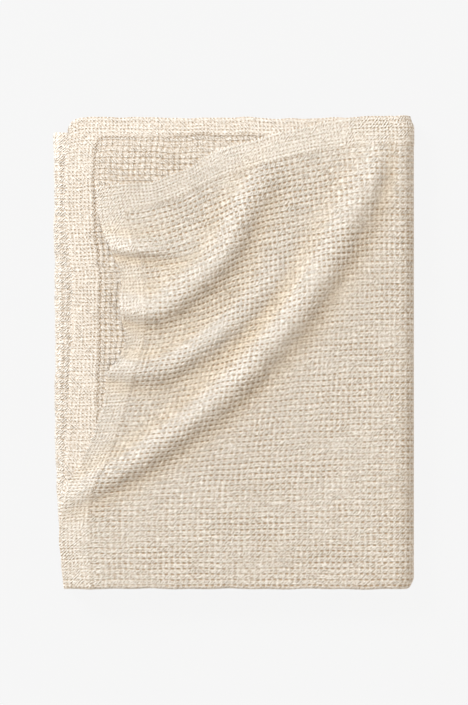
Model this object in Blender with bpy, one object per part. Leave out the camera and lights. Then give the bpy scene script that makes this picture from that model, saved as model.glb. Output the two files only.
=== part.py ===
"""A waffle-weave bedspread, folded into a flat pack of sixteen layers, its top corner pulled down.

The cloth is one sheet with turned hems on all four sides. It is folded in half twice along its
length and twice across, so each way of folding has the same section of four runs and three turns.
Metres, +Z up, +X to the right fold, +Y to the hemmed end. The pack lies on z = 0.
"""
import math

import bmesh
import bpy
import numpy as np

MM = 0.001

# Driving sizes, in metres
CLOTH = 0.0022  # thickness of the waffle cloth
LAYER_PITCH = 0.00275  # from the middle of one layer to the middle of the next
BUNDLE_PITCH = 4 * LAYER_PITCH  # four layers lie in each bundle of the second folding
RIGHT_FOLD_X = 0.225  # where the outer layer of the right fold reaches to
BOTTOM_FOLD_Y = -0.2945  # where the outer layer of the lower fold reaches to
TOP_END_Y = 0.2945  # where the highest hemmed end reaches to
CORNER_PULL = 0.006  # how far the right fold draws in at its two ends
CORNER_REACH = 0.016  # and over what length
CLOTH_COLOUR = (0.80, 0.72, 0.60, 1.0)
CLOTH_ROUGHNESS = 0.92

# How closely the sheet is divided
TOP_CELL = 0.0115  # the shaped top layer
LONG_CELL = 0.150  # the flat layers under it
OUTER_TURN_STEPS, INNER_TURN_STEPS = 8, 4

# One folding: four runs of cloth, and the turn that ends each of the first three. Levels and radii
# are in pitches. A turn faces out where the outer face of the cloth is on its outside.
#        level, turn centre, turn radius, turn rises, faces out
FOLDING = (
    (3.5, 2.0, 1.5, -1, 1),
    (0.5, 1.0, 0.5, 1, 1),
    (1.5, 2.0, 0.5, 1, -1),
    (2.5, None, None, None, None),
)

# Ends of the layers along Y, in mm, at five places on the way across the cloth
#                    first hem, right fold, left fold, inner fold, last hem
FIRST_END_Y = (294.0, 294.5, 274.0, 290.0, 289.0)
FOLDED_END_Y = (286.0, 288.0, 268.0, 285.0, 284.0)
SECOND_END_Y = (293.0, 292.0, 272.0, 288.0, 288.5)
LOWER_FOLD_Y = (3.0, 1.2, 0.0, 1.5, 0.8)  # how far the lower fold stands in from its line

# Left edges down the pack, in mm
#    y, hems of the upper bundle, hems of the bundle under it, left fold
LEFT_EDGES = (
    (294.0, -210.0, -205.0, -222.0),
    (274.0, -210.0, -206.0, -224.0),
    (200.0, -209.5, -207.0, -225.0),
    (150.0, -208.0, -206.0, -225.0),
    (115.0, -203.0, -202.0, -224.0),
    (90.0, -200.0, -201.0, -224.5),
    (52.0, -201.0, -199.0, -225.0),
    (20.0, -202.0, -200.0, -222.5),
    (-60.0, -205.0, -203.0, -222.5),
    (-130.0, -209.0, -206.0, -222.5),
    (-185.0, -212.0, -209.0, -220.0),
    (-235.0, -213.0, -210.0, -217.5),
    (-262.0, -213.0, -209.0, -215.5),
    (-295.0, -210.0, -207.0, -212.5),
)

# Outline of the top layer where its corner is pulled down over the layers below, in mm
TOP_LAYER_END = (  # x, y, from the pulled corner to the right fold
    (-172.5, 205.3), (-150.0, 209.5), (-131.0, 210.9), (-105.0, 211.9), (-82.5, 219.7),
    (-51.3, 230.8), (-35.0, 244.1), (-18.8, 251.6), (7.5, 259.7), (28.8, 265.3),
    (57.5, 274.0), (91.3, 281.6), (132.5, 290.0), (168.0, 293.5), (203.3, 294.5),
)
TOP_LAYER_SIDE = (  # x, y, from the pulled corner to the lower fold
    (-172.5, 205.3), (-170.0, 184.0), (-162.5, 150.3), (-156.0, 135.0), (-148.8, 117.8),
    (-141.3, 100.3), (-140.5, 50.3), (-133.8, 21.6), (-135.6, 7.8), (-143.8, -8.4),
    (-156.3, -27.2), (-162.5, -60.9), (-172.5, -93.4), (-183.8, -123.4), (-197.5, -148.4),
    (-210.0, -172.2), (-216.0, -203.4), (-216.3, -237.2), (-213.5, -265.0), (-211.3, -289.3),
)

# Swags thrown up by the pulled corner. Each row is a place on a swag's crest, from its left end.
#    x, y, height, spread on the upper side, spread on the lower side, all in mm
SWAGS = {
    "lip": (
        (-190, 142, 2, 12, 8), (-160, 138, 5, 13, 8), (-130, 133, 7, 14, 9),
        (-100, 130, 7, 16, 10), (-66, 129, 4, 18, 12), (-40, 138, 1, 18, 14),
    ),
    "upper": (
        (-180, 72, 9, 20, 12), (-146, 58, 13, 21, 13), (-120, 52, 15, 22, 15),
        (-92, 54, 16, 23, 17), (-50, 85, 16, 24, 20), (-14, 127, 15, 24, 21),
        (4, 171, 12, 22, 21), (24, 205, 8, 19, 20), (52, 236, 2, 16, 20),
    ),
    "middle": (
        (-180, -12, 6, 14, 12), (-148, -22, 8, 15, 12), (-120, -26, 9, 16, 13),
        (-92, -23, 9, 16, 13), (-52, -2, 9, 15, 14), (-10, 30, 8, 15, 14),
        (30, 70, 6, 16, 15), (52, 105, 3, 18, 16), (66, 140, 1, 18, 18),
    ),
    "main": (
        (-226, -196, 3, 14, 14), (-203, -184, 6, 15, 14), (-170, -166, 10, 17, 16),
        (-130, -144, 14, 19, 18), (-88, -114, 16, 20, 20), (-30, -72, 17, 21, 22),
        (32, -13, 17, 21, 23), (82, 47, 17, 24, 24), (124, 120, 15, 30, 25),
        (156, 186, 12, 34, 25), (184, 230, 7, 34, 22), (203, 258, 2, 30, 18),
    ),
}
CREST_STEPS = 6  # points on the curve between two rows of a swag or an outline
BLEND_POWER = 6  # how firmly the nearest length of a crest takes over from the others
CLOSEST = 1e-6  # mm, so that no distance is nothing
FLAT_MARGIN = 0.022  # the swags have died away this close to the folded sides


def clear_scene():
    """Leave nothing of the opening scene."""
    for thing in list(bpy.data.objects):
        bpy.data.objects.remove(thing, do_unlink=True)


def eased(value):
    """0 to 1 with level ends."""
    value = min(max(value, 0.0), 1.0)
    return value * value * (3.0 - 2.0 * value)


def through(rows, steps):
    """A smooth curve through the rows of a table."""
    rows = np.array(rows, float)
    rows = np.vstack([2 * rows[0] - rows[1], rows, 2 * rows[-1] - rows[-2]])
    curve = []
    for before, start, end, after in zip(rows, rows[1:], rows[2:], rows[3:]):
        for t in np.arange(steps) / steps:
            bend = (2 * before - 5 * start + 4 * end - after) * t ** 2
            twist = (3 * start - before - 3 * end + after) * t ** 3
            curve.append(0.5 * (2 * start + (end - before) * t + bend + twist))
    return np.array(curve + [rows[-2]])


def swag_height(x, y, crest):
    """Height in mm that one swag adds over a place in mm.

    Each short length of the crest throws up a soft mound, and the mounds are blended, so that the
    inner side of a bend has no crease.
    """
    middles, runs = (crest[1:] + crest[:-1]) / 2, np.diff(crest[:, :2], axis=0)
    off_x, off_y = x - middles[:, 0], y - middles[:, 1]
    lengths, distances = np.hypot(*runs.T), np.hypot(off_x, off_y) + CLOSEST
    tall, upper, lower = middles[:, 2:].T
    side = (runs[:, 0] * off_y - runs[:, 1] * off_x) / (lengths * distances)
    spread = lower + (upper - lower) * (0.5 + 0.5 * side)
    shares = lengths / (spread * math.sqrt(math.pi / BLEND_POWER))
    mounds = tall * np.exp(-((distances / spread) ** 2))
    return float((shares * mounds ** BLEND_POWER).sum() ** (1 / BLEND_POWER))


CRESTS = [through(rows, CREST_STEPS) for rows in SWAGS.values()]


def top_layer_height(x, y):
    """How far the top layer rises at a place, in metres."""
    rise = sum(swag_height(x / MM, y / MM, crest) for crest in CRESTS) * MM
    from_right = (RIGHT_FOLD_X - 2 * BUNDLE_PITCH - x) / FLAT_MARGIN
    from_bottom = (y - BOTTOM_FOLD_Y - 2 * LAYER_PITCH) / FLAT_MARGIN
    return rise * eased(from_right) * eased(from_bottom)


def divided(cuts):
    """Stations along one folding: (run, share of the run, None) or (run, None, share of its turn).

    cuts holds how many lengths each run is divided into.
    """
    stations = []
    for run, (_, _, radius, _, _) in enumerate(FOLDING):
        stations += [(run, step / cuts[run], None) for step in range(cuts[run] + 1)]
        if radius is not None:
            steps = OUTER_TURN_STEPS if radius > 1 else INNER_TURN_STEPS
            stations += [(run, None, step / steps) for step in range(1, steps)]
    return stations


def folded(station, near, far, pitch, outward):
    """Where a point comes to along a folding and how high, for its station.

    near and far are the places of a run's two ends, and outward is the point's distance from the
    middle of the sheet that is being folded, towards its outer face.
    """
    run, share, turned = station
    level, centre, radius, rises, faces = FOLDING[run]
    away = run % 2 == 0  # the first and third runs go from the near end to the far one
    if turned is None:
        start, end = (near, far) if away else (far, near)
        side = 1 if away else -1
        return start + share * (end - start), level * pitch + side * outward
    size = radius * pitch + faces * outward
    reach = size * math.sin(math.pi * turned)
    onward = 1 if (far > near) == away else -1
    place = (far if away else near) + onward * reach
    return place, centre * pitch + rises * -size * math.cos(math.pi * turned)


def across_share(station):
    """Places 0 to 4 on the way across the cloth, for the tables of ends."""
    run, share, turned = station
    return run + (share if turned is None else 1.0)


def end_line(table, crosswise):
    """A table of ends read on the way across the cloth, in metres."""
    return float(np.interp(across_share(crosswise), range(len(table)), table)) * MM


def left_edge(y, column):
    """A column of the table of left edges at a height on the pack, in metres."""
    rows = sorted(LEFT_EDGES)
    return float(np.interp(y / MM, [row[0] for row in rows], [row[column] for row in rows])) * MM


def right_axis(y):
    """Where the right fold turns. It draws in at both corners."""
    to_corner = max(y - TOP_END_Y, BOTTOM_FOLD_Y - y) + CORNER_REACH
    axis = RIGHT_FOLD_X - 1.5 * BUNDLE_PITCH - 1.5 * LAYER_PITCH - CLOTH / 2
    return axis - CORNER_PULL * eased(to_corner / CORNER_REACH)


def lower_axis(crosswise):
    """Where the lower fold turns."""
    axis = BOTTOM_FOLD_Y + 1.5 * LAYER_PITCH + CLOTH / 2
    return axis + end_line(LOWER_FOLD_Y, crosswise)


def evenly(curve, share):
    """The point at a share of a curve's length."""
    lengths = np.hypot(*np.diff(curve, axis=0).T)
    along = np.concatenate([[0.0], np.cumsum(lengths)])
    at = share * along[-1]
    return np.array([np.interp(at, along, curve[:, 0]), np.interp(at, along, curve[:, 1])])


TOP_END_CURVE = through(TOP_LAYER_END, CREST_STEPS) * MM
TOP_SIDE_CURVE = through(TOP_LAYER_SIDE, CREST_STEPS) * MM


def top_layer_place(across, down, crosswise):
    """Place of the pulled top layer, between its two free edges and its two folds."""
    corner, bottom_left = TOP_SIDE_CURVE[0], TOP_SIDE_CURVE[-1]
    lower = lower_axis(crosswise)
    end_right = np.array((right_axis(TOP_END_Y), TOP_END_CURVE[-1][1]))
    bottom_right = np.array((right_axis(BOTTOM_FOLD_Y), lower))
    right_y = end_right[1] + down * (bottom_right[1] - end_right[1])
    right = np.array((right_axis(right_y), right_y))
    bottom = np.array((bottom_left[0] + across * (bottom_right[0] - bottom_left[0]), lower))
    end = evenly(TOP_END_CURVE, across)
    side = evenly(TOP_SIDE_CURVE, down)
    sides = (1 - across) * side + across * right
    ends = (1 - down) * end + down * bottom
    upper_corners = (1 - down) * ((1 - across) * corner + across * end_right)
    lower_corners = down * ((1 - across) * bottom_left + across * bottom_right)
    x, y = sides + ends - upper_corners - lower_corners
    return x, y


def top_layer_point(across, down, crosswise, outward):
    """A point of the pulled top layer, on its outer face or its under face."""
    x, y = top_layer_place(across, down, crosswise)
    step = MM
    slope_x = (top_layer_height(x + step, y) - top_layer_height(x - step, y)) / (2 * step)
    slope_y = (top_layer_height(x, y + step) - top_layer_height(x, y - step)) / (2 * step)
    upright = 1.0 / math.sqrt(1.0 + slope_x ** 2 + slope_y ** 2)
    level = 3.5 * BUNDLE_PITCH + 1.5 * LAYER_PITCH
    z = level + top_layer_height(x, y) + outward * upright
    return x - outward * upright * slope_x, y - outward * upright * slope_y, z


def cloth_point(crosswise, lengthwise, outward):
    """Carry one point of the flat cloth round both foldings."""
    cross_run, cross_share, _ = crosswise
    long_run, long_share, _ = lengthwise
    if cross_run == 0 and long_run == 0 and cross_share is not None and long_share is not None:
        return top_layer_point(cross_share, long_share, crosswise, outward)
    ends = (FIRST_END_Y, FOLDED_END_Y, FOLDED_END_Y, SECOND_END_Y)[long_run]
    near = end_line(ends, crosswise)
    y, level = folded(lengthwise, near, lower_axis(crosswise), LAYER_PITCH, outward)
    inside = level - 2 * LAYER_PITCH
    column = (1, 3, 3, 2)[cross_run]
    left = left_edge(y, column)
    if column == 3:
        left += BUNDLE_PITCH - (LAYER_PITCH - CLOTH) / 2
    elif cross_run == 0 and long_run == 0:
        left = TOP_SIDE_CURVE[-1][0]
    x, z = folded(crosswise, left, right_axis(y), BUNDLE_PITCH, inside)
    return x, y, z


def cloth_material():
    """Undyed cotton: cream and dull."""
    material = bpy.data.materials.new("undyed_cotton")
    material.use_nodes = True
    shader = material.node_tree.nodes["Principled BSDF"]
    shader.inputs["Base Color"].default_value = CLOTH_COLOUR
    shader.inputs["Roughness"].default_value = CLOTH_ROUGHNESS
    shader.inputs["Metallic"].default_value = 0.0
    return material


def make_bedspread(collection):
    """Fold a flat slab of cloth, divided at the stations, into the pack."""
    top_across = round((RIGHT_FOLD_X - TOP_SIDE_CURVE[0][0]) / TOP_CELL)
    top_down = round((TOP_END_Y - BOTTOM_FOLD_Y) / TOP_CELL)
    flat_across = round(2 * RIGHT_FOLD_X / LONG_CELL)
    flat_down = round((TOP_END_Y - BOTTOM_FOLD_Y) / LONG_CELL)
    crosswise = divided((top_across, flat_across, flat_across, flat_across))
    lengthwise = divided((top_down, flat_down, flat_down, flat_down))

    cloth = bmesh.new()
    columns, rows = len(crosswise) - 1, len(lengthwise) - 1
    bmesh.ops.create_grid(cloth, x_segments=columns, y_segments=rows, size=0.5)
    under = bmesh.ops.extrude_face_region(cloth, geom=cloth.faces[:])["geom"]
    for vertex in under:
        if isinstance(vertex, bmesh.types.BMVert):
            vertex.co.z = -1.0
    bmesh.ops.recalc_face_normals(cloth, faces=cloth.faces)
    for vertex in cloth.verts:
        column = round((vertex.co.x + 0.5) * columns)
        row = round((0.5 - vertex.co.y) * rows)
        outward = CLOTH / 2 if vertex.co.z > -0.5 else -CLOTH / 2
        vertex.co = cloth_point(crosswise[column], lengthwise[row], outward)
        vertex.co.z -= (LAYER_PITCH - CLOTH) / 2

    mesh = bpy.data.meshes.new("bedspread")
    cloth.to_mesh(mesh)
    cloth.free()
    bedspread = bpy.data.objects.new("bedspread", mesh)
    mesh.materials.append(cloth_material())
    collection.objects.link(bedspread)
    return bedspread


def main():
    clear_scene()
    collection = bpy.data.collections.new("Folded bedspread")
    bpy.context.scene.collection.children.link(collection)
    make_bedspread(collection)


main()
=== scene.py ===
"""Looks of a folded waffle-weave bedspread, seen from straight above. Metres, +Z up."""

import collections
import math

import bpy
import mathutils
import numpy as np
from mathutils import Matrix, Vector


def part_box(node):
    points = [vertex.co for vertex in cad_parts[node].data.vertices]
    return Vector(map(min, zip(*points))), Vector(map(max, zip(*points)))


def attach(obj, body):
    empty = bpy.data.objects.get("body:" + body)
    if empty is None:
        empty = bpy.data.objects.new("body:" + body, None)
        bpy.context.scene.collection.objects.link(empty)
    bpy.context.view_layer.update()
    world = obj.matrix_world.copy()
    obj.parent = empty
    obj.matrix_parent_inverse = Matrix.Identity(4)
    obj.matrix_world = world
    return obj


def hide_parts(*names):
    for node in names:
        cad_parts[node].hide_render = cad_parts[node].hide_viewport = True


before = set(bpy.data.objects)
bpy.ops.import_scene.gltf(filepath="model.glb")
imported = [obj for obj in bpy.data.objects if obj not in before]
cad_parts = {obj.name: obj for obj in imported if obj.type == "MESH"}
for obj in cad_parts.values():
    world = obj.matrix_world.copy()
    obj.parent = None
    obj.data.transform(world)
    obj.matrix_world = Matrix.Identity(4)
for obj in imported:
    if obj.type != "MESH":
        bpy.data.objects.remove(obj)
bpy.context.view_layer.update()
pack_low, pack_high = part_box("bedspread")

MM = 0.001
rng = np.random.default_rng(11)

# Sizes of the folded cloth
CLOTH = 0.0022
LAYER_PITCH = 0.00275
BUNDLE_PITCH = 4 * LAYER_PITCH
LIFT = (LAYER_PITCH - CLOTH) / 2  # the lowest layer's middle stands this much too high
TOP_LEVEL = 3.5 * BUNDLE_PITCH + 1.5 * LAYER_PITCH - LIFT  # the top layer's middle, where flat
FOLD_REACH = 1.5 * BUNDLE_PITCH + 1.5 * LAYER_PITCH + CLOTH / 2  # of the right fold from its axis
RIGHT_FOLD_X = pack_high.x
BOTTOM_FOLD_Y = pack_low.y
TOP_END_Y = pack_high.y
CORNER_PULL, CORNER_REACH = 0.0045, 0.014  # how the right fold draws in at its two ends

# One folding: four runs and the turns between them. Levels and radii are in pitches.
#    level, turn centre, turn radius, turn rises, outer face is on its outside
FOLDING = np.array((
    (3.5, 2.0, 1.5, -1, 1),
    (0.5, 1.0, 0.5, 1, 1),
    (1.5, 2.0, 0.5, 1, -1),
    (2.5, 0.0, 0.0, 0, 0),
))

# Waffle cells in each run and turn
CELLS_ACROSS = ((0, "run", 58), (0, "turn", 9), (1, "run", 58), (1, "turn", 4),
                (2, "run", 58), (2, "turn", 3), (3, "run", 57))
CELLS_DOWN = ((0, "run", 81), (0, "turn", 2), (1, "run", 80), (1, "turn", 1),
              (2, "run", 80), (2, "turn", 1), (3, "run", 81))
ALL_ACROSS = sum(count for _, _, count in CELLS_ACROSS)
ALL_DOWN = sum(count for _, _, count in CELLS_DOWN)
LINES = (0.0, 0.18, 0.5, 0.82)  # where the mesh's lines lie within a cell, at the finest
FINE = len(LINES)

# Ends of the layers along Y in mm: first hem, right fold, left fold, inner fold, last hem
FIRST_END_Y = (294.0, 294.5, 274.0, 290.0, 289.0)
FOLDED_END_Y = (286.0, 288.0, 268.0, 285.0, 284.0)
SECOND_END_Y = (292.4, 290.8, 272.0, 288.0, 288.5)
LOWER_FOLD_Y = (-0.2, -0.8, -1.0, -0.2, -0.2)

# Left edges down the pack in mm: y, hems of the upper bundle, of the one under it, left fold
LEFT_EDGES = np.array((
    (-295.0, -210.0, -207.0, -214.0), (-262.0, -213.0, -209.0, -217.5),
    (-235.0, -213.0, -210.0, -219.0), (-185.0, -212.0, -209.0, -221.5),
    (-130.0, -209.0, -206.0, -224.0), (-60.0, -205.0, -203.0, -225.0),
    (20.0, -202.0, -200.0, -223.8), (52.0, -201.0, -199.0, -225.2),
    (90.0, -200.0, -201.0, -224.8), (115.0, -203.0, -202.0, -225.0),
    (150.0, -208.0, -206.0, -226.2), (200.0, -209.5, -207.0, -225.2),
    (274.0, -207.5, -206.0, -226.0), (294.0, -206.5, -205.0, -224.5),
))

# Outline of the pulled top layer in mm, from its corner: along its end hem, and down its side hem
TOP_LAYER_END = (
    (-172.5, 205.3), (-150.0, 209.5), (-131.0, 210.9), (-105.0, 211.9), (-82.5, 219.7),
    (-51.3, 230.8), (-35.0, 244.1), (-18.8, 251.6), (7.5, 259.7), (28.8, 265.3),
    (57.5, 274.0), (91.3, 281.6), (132.5, 290.0), (168.0, 293.5), (203.3, 294.5),
)
TOP_LAYER_SIDE = (
    (-172.5, 205.3), (-170.0, 184.0), (-162.5, 150.3), (-156.0, 135.0), (-148.8, 117.8),
    (-141.3, 100.3), (-140.5, 50.3), (-133.8, 21.6), (-135.6, 7.8), (-143.8, -8.4),
    (-156.3, -27.2), (-162.5, -60.9), (-172.5, -93.4), (-183.8, -123.4), (-197.5, -148.4),
    (-210.0, -172.2), (-216.0, -203.4), (-216.3, -237.2), (-213.5, -265.0), (-211.3, -289.3),
)

# Crests of the swags in mm: x, y, height, spread of the upper side, spread of the lower side
SWAGS = {
    "lip": (
        (-190, 138, 3, 12, 8), (-160, 134, 7, 13, 8), (-130, 128, 9, 14, 8),
        (-100, 128, 8, 16, 10), (-66, 129, 4, 18, 12), (-40, 138, 1, 18, 14),
    ),
    "upper": (
        (-180, 72, 9, 20, 12), (-146, 58, 13, 21, 13), (-120, 52, 14, 22, 15),
        (-92, 54, 14, 22, 17), (-50, 85, 14, 22, 19), (-12, 124, 15, 22, 20),
        (8, 166, 14, 21, 20), (27, 202, 10, 19, 19), (54, 234, 3, 16, 20),
    ),
    "middle": (
        (-180, -12, 8, 14, 13), (-148, -20, 11, 15, 14), (-120, -24, 13, 16, 16),
        (-92, -21, 13, 16, 17), (-52, 0, 12, 15, 17), (-10, 32, 10, 15, 17),
        (30, 70, 7, 16, 16), (52, 105, 4, 18, 16), (66, 140, 1, 18, 18),
    ),
    "main": (
        (-226, -190, 3, 14, 14), (-203, -179, 6, 15, 14), (-170, -163, 10, 16, 16),
        (-130, -141, 13, 17, 18), (-90, -112, 15, 18, 20), (-33, -69, 16, 19, 21),
        (29, -10, 16, 19, 22), (79, 50, 17, 21, 22), (121, 120, 17, 24, 23),
        (154, 184, 15, 26, 23), (184, 232, 9, 27, 21), (205, 262, 2, 26, 18),
    ),
}
CREST_STEPS = 6
BLEND_POWER = 6
FLAT_MARGIN = 0.034  # the swags have died away this close to the folded sides
SHELTER_REACH, DEEP = (10, 10), 1.5 * MM  # how far around, and how far below it, is sheltered

# Hems, in cells, and how the doubled cloth stands up at them
SIDE_HEM, FIRST_HEM, LAST_HEM = 5.0, 5.0, 3.2
HEM_SLOPE, HEM_CORNER, HEM_WANDER = 0.45, 0.45, 0.25
SIDE_SEAM, END_SEAM = 3, 8  # keys of the waves in which the seams stray
SEAM_WIDTH = 0.20
EDGE_ROUND = 0.13  # how far, in cells, the edge's roundness reaches past the last line
END_WAVE, WAVE_STEP = 1.2 * MM, 7 * MM  # how uneven the layers' ends and edges are

# How unevenly the pack settles: shares of its height, where they start and end, shift in plan
WARP, END_SAG, LEFT_SAG = 0.02, 0.11, 0.03
END_SAG_FROM, END_SAG_OVER = 0.245, 0.06
LEFT_SAG_FROM, LEFT_SAG_OVER = -0.18, 0.05
SHIFT, STILL_EDGE, STILL_OVER = 0.35 * MM, 0.01, 0.03

# The cloth's two faces. hem_weave is the share of the weave's relief that the doubled cloth keeps
Face = collections.namedtuple("Face", "up pit_depth groove_depth hem_rise hem_weave seam_depth")
OUTER_FACE = Face(1, 1.0 * MM, 0.2 * MM, 0.5 * MM, 0.35, 0.3 * MM)
OTHER_FACE = Face(-1, 0.7 * MM, 0.4 * MM, 0.4 * MM, 0.30, 0.7 * MM)
CELL = 7.17 * MM
COLUMN_WIDTH, ROW_WIDTH, PIT_WIDTH, PIT_HEIGHT = 0.13, 0.15, 0.27, 0.17  # of the relief, in cells
STITCH, STITCH_STEP = 0.45, 0.72  # how long a hem stitch is, and how far from the next, in cells
THREAD = 0.45 * MM  # how thick a stitch stands, to each side of its middle
CORNER_ROUND, CORNER_FADE = 0.016, 0.030  # the layers' corners under the top one are worn round

# How uneven the pits are: usual depth, patches and single pits, shallowest and deepest
USUAL_PIT, PATCHY_PIT, UNEVEN_PIT, PIT_RANGE = 0.74, 0.13, 0.12, (0.2, 1.2)
PATCH_REACH = (2, 4)
LEFT_FOLD_CELLS, LEFT_FOLD_PIT = np.s_[:84, 123:138], 0.55  # the left fold draws its pits shut

# What the meshes hold for the materials
WEAVE_MAP, MEASURES = "weave_cells", ("pit_share", "from_seam", "shelter")

# How the top layer's cells settle: pulls between their corners
SETTLE_ROUNDS = 600
EVEN_PULL, STRETCH_PULL, SLANT_PULL = 0.08, 1.2, 0.2
CROWDING = 0.05  # crowded cells push back no harder than at this share of shortening


def eased(value):
    """0 to 1 with level ends."""
    value = np.clip(value, 0.0, 1.0)
    return value * value * (3.0 - 2.0 * value)


def through(rows):
    """A smooth curve through the rows of a table."""
    rows = np.array(rows, float)
    rows = np.vstack([2 * rows[0] - rows[1], rows, 2 * rows[-1] - rows[-2]])
    curve = []
    for before, start, end, after in zip(rows, rows[1:], rows[2:], rows[3:]):
        for t in np.arange(CREST_STEPS) / CREST_STEPS:
            bend = (2 * before - 5 * start + 4 * end - after) * t ** 2
            twist = (3 * start - before - 3 * end + after) * t ** 3
            curve.append(0.5 * (2 * start + (end - before) * t + bend + twist))
    return np.array(curve + [rows[-2]])


CRESTS = [through(rows) * MM for rows in SWAGS.values()]
END_CURVE = through(TOP_LAYER_END) * MM
SIDE_CURVE = through(TOP_LAYER_SIDE) * MM


def swag_rise(x, y):
    """How far the top layer rises over the pack, at arrays of places."""
    rise = np.zeros(x.shape)
    for crest in CRESTS:
        blend = np.zeros(x.shape)
        middles = (crest[1:] + crest[:-1]) / 2
        runs = np.diff(crest[:, :2], axis=0)
        for (run_x, run_y), (at_x, at_y, tall, upper, lower) in zip(runs, middles):
            off_x, off_y = x - at_x, y - at_y
            apart = off_x ** 2 + off_y ** 2
            length = math.hypot(run_x, run_y)
            side = (run_x * off_y - run_y * off_x) / (length * np.sqrt(apart) + 1e-9)
            spread = lower + (upper - lower) * (0.5 + 0.5 * side)
            share = length / (spread * math.sqrt(math.pi / BLEND_POWER))
            blend += share * (tall * np.exp(-apart / spread ** 2)) ** BLEND_POWER
        rise += blend ** (1 / BLEND_POWER)
    from_right = (RIGHT_FOLD_X - 2 * BUNDLE_PITCH - x) / FLAT_MARGIN
    from_bottom = (y - BOTTOM_FOLD_Y - 2 * LAYER_PITCH) / FLAT_MARGIN
    return rise * eased(from_right) * eased(from_bottom)


def smeared(values, reach):
    """Values spread over about reach places each way."""
    for axis, length in enumerate(reach):
        weights = np.exp(-((np.arange(-3 * length, 3 * length + 1) / length) ** 2))
        values = np.apply_along_axis(np.convolve, axis, values, weights / weights.sum(), "same")
    return values


class PlanMap:
    """Values worked out once on a close grid of places in plan, and read between them."""

    STEP = 1.25 * MM
    XS, YS = np.arange(-0.24, 0.24, STEP), np.arange(-0.31, 0.31, STEP)

    def __init__(self, values):
        self.values = values

    def read(self, x, y):
        """The values at arrays of places."""
        column = np.clip((x - self.XS[0]) / self.STEP, 0, len(self.XS) - 1.001)
        row = np.clip((y - self.YS[0]) / self.STEP, 0, len(self.YS) - 1.001)
        i, j = column.astype(int), row.astype(int)
        u, v = column - i, row - j
        lower = self.values[j, i] * (1 - u) + self.values[j, i + 1] * u
        upper = self.values[j + 1, i] * (1 - u) + self.values[j + 1, i + 1] * u
        return lower * (1 - v) + upper * v


RISE = PlanMap(swag_rise(*np.meshgrid(PlanMap.XS, PlanMap.YS)))
SHELTER = PlanMap((smeared(RISE.values, SHELTER_REACH) - RISE.values) / DEEP)  # 1 in a trough


def along(curve, shares):
    """Points at shares of a curve's length."""
    steps = np.concatenate([[0.0], np.cumsum(np.hypot(*np.diff(curve, axis=0).T))])
    at = np.asarray(shares) * steps[-1]
    return np.interp(at, steps, curve[:, 0]), np.interp(at, steps, curve[:, 1])


def right_axis(y):
    """Where the right fold turns."""
    to_corner = np.maximum(y - TOP_END_Y, BOTTOM_FOLD_Y - y) + CORNER_REACH
    return RIGHT_FOLD_X - FOLD_REACH - CORNER_PULL * eased(to_corner / CORNER_REACH)


def end_line(table, place):
    """A table of ends, read at places 0 to 4 on the way across the cloth."""
    return np.interp(place, range(len(table)), table) * MM


def lower_axis(place):
    """Where the lower fold turns."""
    return BOTTOM_FOLD_Y + 1.5 * LAYER_PITCH + CLOTH / 2 + end_line(LOWER_FOLD_Y, place)


def spread_top_cells():
    """Corners of the top layer's cells, spread evenly between its two folds and free edges."""
    across, down = CELLS_ACROSS[0][2], CELLS_DOWN[0][2]
    s, t = np.arange(across + 1) / across, np.arange(down + 1) / down
    bottom_y = lower_axis(s)
    x_right = right_axis(TOP_END_Y + t * (bottom_y[-1] - TOP_END_Y))
    side_x, side_y = along(SIDE_CURVE, t)
    end_x, end_y = along(END_CURVE, s)
    bottom_x = side_x[-1] + s * (x_right[-1] - side_x[-1])
    right_y = end_y[-1] + t * (bottom_y[-1] - end_y[-1])
    place = []
    for side, right, end, bottom in ((side_x, x_right, end_x, bottom_x),
                                     (side_y, right_y, end_y, bottom_y)):
        sides = side[:, None] * (1 - s) + right[:, None] * s
        ends = np.outer(1 - t, end) + np.outer(t, bottom)
        upper = np.outer(1 - t, side[0] * (1 - s) + end[-1] * s)
        lower = np.outer(t, side[-1] * (1 - s) + bottom[-1] * s)
        place.append(sides + ends - upper - lower)
    x, y = place
    y[-1] = bottom_y
    return x, y


def settle_top_cells():
    """The top layer's cells, moved until the cloth is hardly stretched.

    Their corners slide in plan on the swags' surface. Those on the two folds and on the two free
    edges keep their places.
    """
    x, y = spread_top_cells()
    pitch_across = (x[-1, -1] - x[-1, 0]) / (x.shape[1] - 1)
    pitch_down = (y[0, -1] - y[-1, -1]) / (x.shape[0] - 1)
    slant = math.hypot(pitch_across, pitch_down)
    free = np.s_[1:-1, 1:-1]
    links = (
        (np.s_[:, :-1], np.s_[:, 1:], pitch_across, 1.0),
        (np.s_[:-1], np.s_[1:], pitch_down, 1.0),
        (np.s_[:-1, :-1], np.s_[1:, 1:], slant, SLANT_PULL),
        (np.s_[:-1, 1:], np.s_[1:, :-1], slant, SLANT_PULL),
    )
    for _ in range(SETTLE_ROUNDS):
        z = RISE.read(x, y)
        push_x, push_y, weight = (np.zeros(x.shape) for _ in range(3))
        for one, other, rest, pull in links:
            gap_x, gap_y, gap_z = x[other] - x[one], y[other] - y[one], z[other] - z[one]
            stretched = np.sqrt(gap_x ** 2 + gap_y ** 2 + gap_z ** 2) / rest - 1
            ease = pull * (EVEN_PULL + STRETCH_PULL * np.clip(stretched, -CROWDING, 1.0))
            for push, gap in ((push_x, gap_x), (push_y, gap_y)):
                push[one] += ease * gap
                push[other] -= ease * gap
            weight[one] += pull
            weight[other] += pull
        x[free] += (push_x / weight)[free]
        y[free] += (push_y / weight)[free]
    return x, y


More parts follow.
